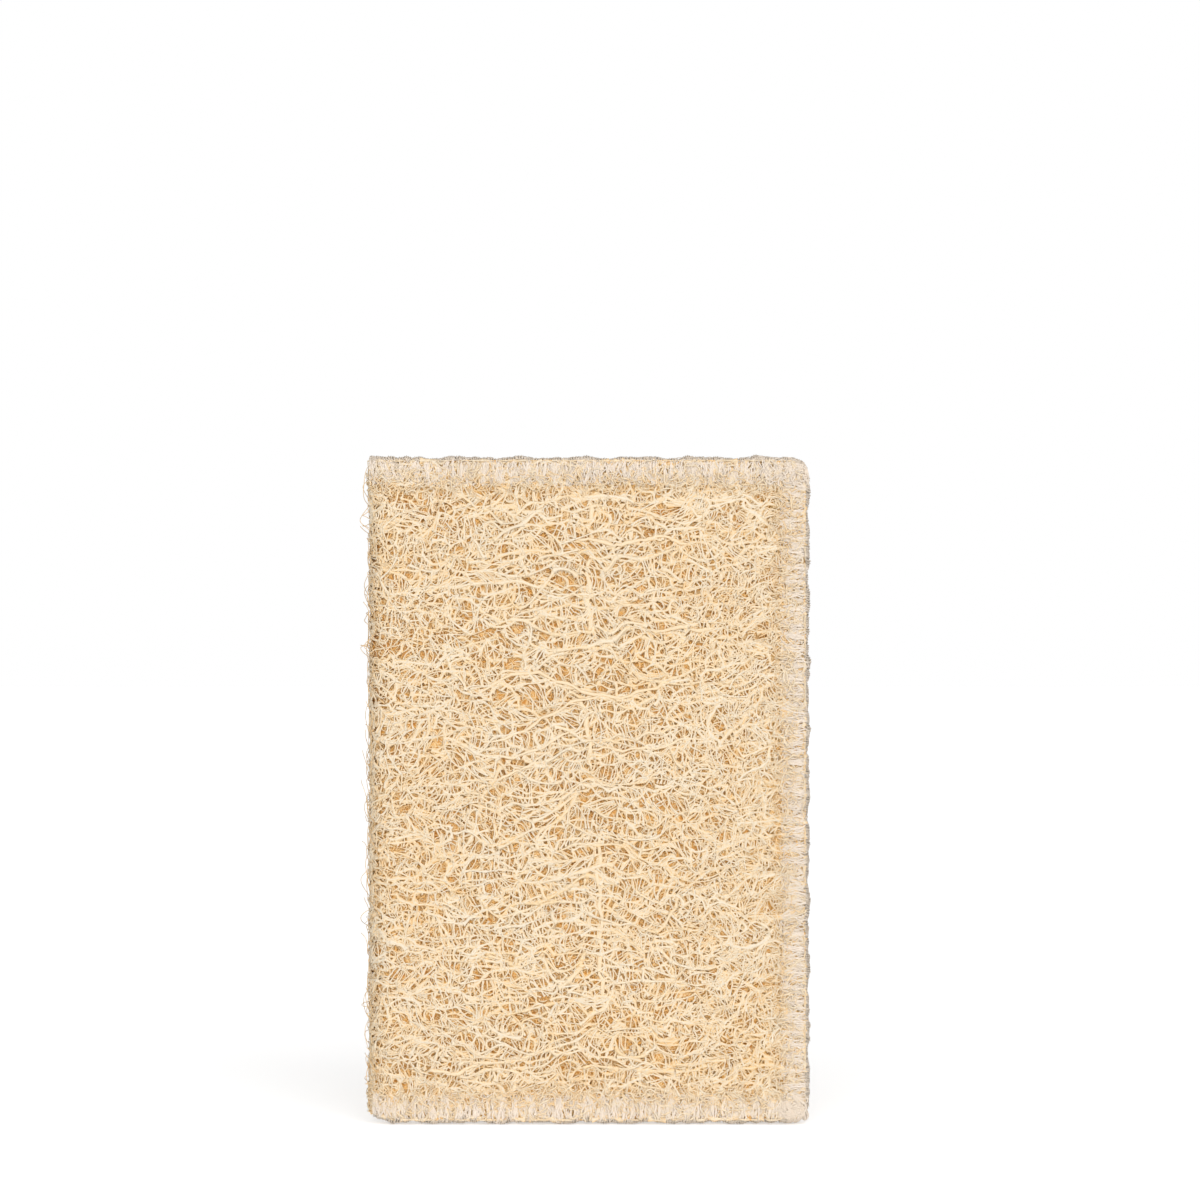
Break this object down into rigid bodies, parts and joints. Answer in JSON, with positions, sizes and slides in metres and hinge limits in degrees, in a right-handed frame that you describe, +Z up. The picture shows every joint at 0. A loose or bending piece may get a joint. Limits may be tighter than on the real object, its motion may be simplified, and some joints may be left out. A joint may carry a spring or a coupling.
{
  "type": "natural loofah sponge pad",
  "caption": "Flat rectangular bath pad of natural loofah, folded over at one side and closed on the other three with overlock stitching.",
  "frame": {"origin": "middle of the underside of the lower seam, which the pad stands on", "axes": "+Z up the pad's long side, +X towards the sewn long side, front face towards -Y"},
  "size_m": [0.1003, 0.0144, 0.15],
  "materials": {
    "loofah_fibre": "matt dried plant fibre, cream to straw, amber in the holes",
    "overlock_thread": "soft woolly thread, pale pinkish white"
  },
  "bodies": {
    "root": {"loofah_pad": "loofah_fibre", "overlock_seam_top": "overlock_thread", "overlock_seam_side": "overlock_thread", "overlock_seam_bottom": "overlock_thread"}
  },
  "joints": []
}
